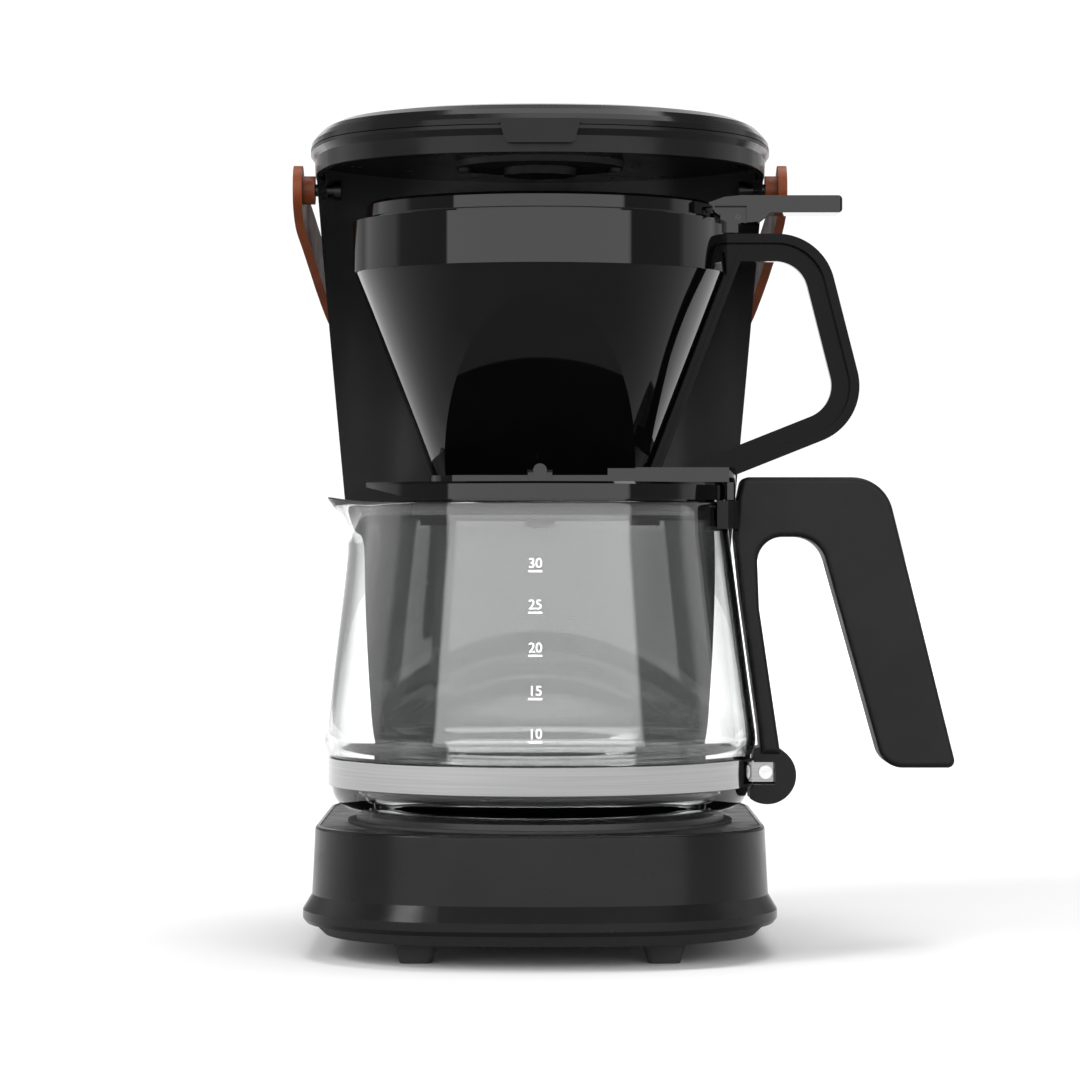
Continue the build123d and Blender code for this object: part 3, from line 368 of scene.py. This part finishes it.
def jug_glass():
    """The blown jug: its outline turned about the axis, with the pouring lip drawn out."""
    profile = jug_profile()
    points = []
    faces = []
    for i in range(GLASS_STEPS):
        angle = 2 * math.pi * i / GLASS_STEPS
        for radius, height in profile[1:-1]:
            r, z = spout_shift(radius, height, angle)
            points.append((r * math.cos(angle), r * math.sin(angle), z))
    rows = len(profile) - 2
    for i in range(GLASS_STEPS):
        for j in range(rows - 1):
            a = i * rows + j
            b = (i + 1) % GLASS_STEPS * rows + j
            faces.append((a, a + 1, b + 1, b))
    for row, height in ((0, profile[0][1]), (rows - 1, profile[-1][1])):
        centre = len(points)
        points.append((0, 0, height))
        for i in range(GLASS_STEPS):
            a = i * rows + row
            b = (i + 1) % GLASS_STEPS * rows + row
            faces.append((centre, a, b) if row == 0 else (centre, b, a))
    glass = mesh_object("jug_glass_blown", points, faces, GLASS)
    smooth = glass.modifiers.new("smooth", "SUBSURF")
    smooth.levels = 1
    smooth.render_levels = 1
    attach(glass, "jug")
    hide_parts("jug_glass")


def wall_radius(height):
    """Outside radius of the glass between its widest point and its neck."""
    narrowing = (NECK_RADIUS - WIDE_RADIUS) / (NECK_HEIGHT - WIDE_HEIGHT)
    return WIDE_RADIUS + (height - WIDE_HEIGHT) * narrowing


def number_mesh(text):
    """A thin mesh of some digits, centred on its own origin."""
    curve = bpy.data.curves.new("digits", "FONT")
    curve.body = text
    curve.size = MARK_SIZE * MM
    curve.align_x = "CENTER"
    curve.offset = 0.05 * MM
    curve.extrude = MARK_FILM * MM
    holder = bpy.data.objects.new("digits", curve)
    scene.collection.objects.link(holder)
    bpy.context.view_layer.update()
    mesh = bpy.data.meshes.new_from_object(holder)
    bpy.data.objects.remove(holder)
    return mesh


def jug_marks():
    """Printed cup marks: a number over a short bar for every five cups."""
    lean = math.atan2(WIDE_RADIUS - NECK_RADIUS, NECK_HEIGHT - WIDE_HEIGHT)
    upright = Matrix.Rotation(math.pi / 2 - lean, 4, "X")
    for cups, height in MARK_HEIGHTS.items():
        mesh = number_mesh(str(cups))
        shape = bmesh.new()
        shape.from_mesh(mesh)
        bar = [(-BAR_HALF, BAR_LOW), (BAR_HALF, BAR_LOW), (BAR_HALF, BAR_HIGH),
               (-BAR_HALF, BAR_HIGH)]
        shape.faces.new([shape.verts.new((x * MM, y * MM, MARK_FILM * MM)) for x, y in bar])
        shape.to_mesh(mesh)
        shape.free()
        mark = bpy.data.objects.new(f"jug_mark_{cups}", mesh)
        scene.collection.objects.link(mark)
        paint(mark, PRINT)
        front = Vector((MARK_SIDE, -wall_radius(height) - MARK_GAP, height))
        mark.matrix_world = Matrix.Translation((JUG_AXIS + front) * MM) @ upright
        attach(mark, "jug")


jug_glass()
jug_marks()

SOFT_EDGES = {
    "base_housing": 0.5, "deck_plate": 0.3, "bottom_cover": 0.5, "column_housing": 0.5,
    "head_housing": 0.5, "tank_lid": 0.5, "jug_lid": 0.5, "dripper_body": 0.5,
    "dripper_handle": 0.5, "dripper_lid": 0.4, "bail_handle": 0.9, "jug_band": 0.15,
    "spray_head": 0.3, "power_rocker": 0.4, "switch_housing": 0.3, "hot_plate": 0.3,
}
for name, width in SOFT_EDGES.items():
    soften(nodes[name], width * MM)


# ---------------------------------------------------------------- stage


def floor():
    """A pale sweep with painted light: its colour is painted darker where it is seen steeply,
    and it glows more towards the far edge.
    """
    material, tree, shader = new_material("floor_pale")
    # Painted sheen: the colour is darker where the floor is seen steeply and brighter at a
    # grazing view, times a faint random cloud.
    facing = add(tree, "ShaderNodeLayerWeight", Blend=0.5)
    tone = ramp(tree, facing.outputs["Facing"], 0.3, 0.74, 0.45, 0.75)
    cloud = add(tree, "ShaderNodeMix", data_type="RGBA", blend_type="MULTIPLY")
    cloud.inputs[0].default_value = 1.0
    tree.links.new(tone, cloud.inputs[6])
    tree.links.new(ramp(tree, noise(tree, 3.0), 0.97, 1.0), cloud.inputs[7])
    tree.links.new(cloud.outputs[2], shader.inputs["Base Color"])
    shader.inputs["Roughness"].default_value = 0.9
    shader.inputs["Specular IOR Level"].default_value = 0.0
    # Painted glow: emission rises from nothing 0.5 m from the centre to 0.9 at 2.5 m and
    # beyond.
    place = add(tree, "ShaderNodeTexCoord")
    length = add(tree, "ShaderNodeVectorMath", operation="LENGTH")
    tree.links.new(place.outputs["Object"], length.inputs[0])
    painted_far_glow = add(tree, "ShaderNodeMapRange")
    painted_far_glow.inputs["From Min"].default_value = 0.5
    painted_far_glow.inputs["From Max"].default_value = 2.5
    painted_far_glow.inputs["To Max"].default_value = 0.9
    tree.links.new(length.outputs["Value"], painted_far_glow.inputs["Value"])
    shader.inputs["Emission Color"].default_value = (1, 1, 1, 1)
    tree.links.new(painted_far_glow.outputs[0], shader.inputs["Emission Strength"])
    signs = [(-1, -1), (1, -1), (1, 1), (-1, 1)]
    corners = [(x * FLOOR_HALF, y * FLOOR_HALF, 0) for x, y in signs]
    obj = mesh_object("floor", corners, [(0, 1, 2, 3)], material, smooth=False)


def world():
    """Studio surroundings: a white back, dark flanks and a bright panel in front."""
    surround = bpy.data.worlds.new("studio")
    scene.world = surround
    surround.use_nodes = True
    tree = surround.node_tree
    back = tree.nodes["Background"]
    place = add(tree, "ShaderNodeTexCoord")
    split = add(tree, "ShaderNodeSeparateXYZ")
    tree.links.new(place.outputs["Generated"], split.inputs["Vector"])
    angle = add(tree, "ShaderNodeMath", operation="ARCTAN2")
    tree.links.new(split.outputs["X"], angle.inputs[0])
    reverse = add(tree, "ShaderNodeMath", operation="MULTIPLY")
    reverse.inputs[1].default_value = -1.0
    tree.links.new(split.outputs["Y"], reverse.inputs[0])
    tree.links.new(reverse.outputs[0], angle.inputs[1])
    turn = add(tree, "ShaderNodeMapRange")
    turn.inputs["From Min"].default_value = -math.pi
    turn.inputs["From Max"].default_value = math.pi
    tree.links.new(angle.outputs[0], turn.inputs["Value"])
    around = add(tree, "ShaderNodeValToRGB")
    tree.links.new(turn.outputs[0], around.inputs["Fac"])
    stops = [(-168, BACKDROP), (-160, FLANK), (-138, FLANK), (-130, BACKDROP),
             (-100, BACKDROP), (-94, FLANK), (-59, FLANK), (-58, PANEL), (56, PANEL),
             (57, FLANK), (94, FLANK), (100, BACKDROP), (130, BACKDROP), (138, FLANK),
             (160, FLANK), (168, BACKDROP)]
    elements = around.color_ramp.elements
    while len(elements) < len(stops):
        elements.new(0.5)
    for element, (degrees, level) in zip(elements, stops):
        element.position = 0.5 + degrees / 360
        element.color = (level, level, level, 1)
    tree.links.new(around.outputs["Color"], back.inputs["Color"])
    ceiling = ramp(tree, split.outputs["Z"], 1.0, CEILING, 0.56, 0.68)
    tree.links.new(ceiling, back.inputs["Strength"])


def area_light(name, place, target, size, power):
    """A square soft light, aimed at a point."""
    light = bpy.data.lights.new(name, "AREA")
    light.energy = power
    light.size = size
    obj = bpy.data.objects.new(name, light)
    scene.collection.objects.link(obj)
    obj.location = place
    direction = Vector(target) - Vector(place)
    obj.rotation_euler = direction.to_track_quat("-Z", "Y").to_euler()


def lights():
    area_light("key_left", (-1.6, -1.1, 1.9), (0, 0, 0.1), 0.7, 25)
    area_light("top_soft", (0.2, 0.2, 2.2), (0, 0, 0.1), 1.6, 40)


def camera():
    """Looks level along +Y at half the machine's height, through a long lens."""
    data = bpy.data.cameras.new("camera")
    data.lens = 133.3
    data.sensor_width = 36
    data.clip_end = 100
    obj = bpy.data.objects.new("camera", data)
    scene.collection.objects.link(obj)
    obj.location = (-0.029, -1.4677, 0.1465)
    obj.rotation_euler = (math.pi / 2, 0, 0)
    scene.camera = obj


floor()
world()
lights()
camera()
scene.view_settings.view_transform = "Standard"
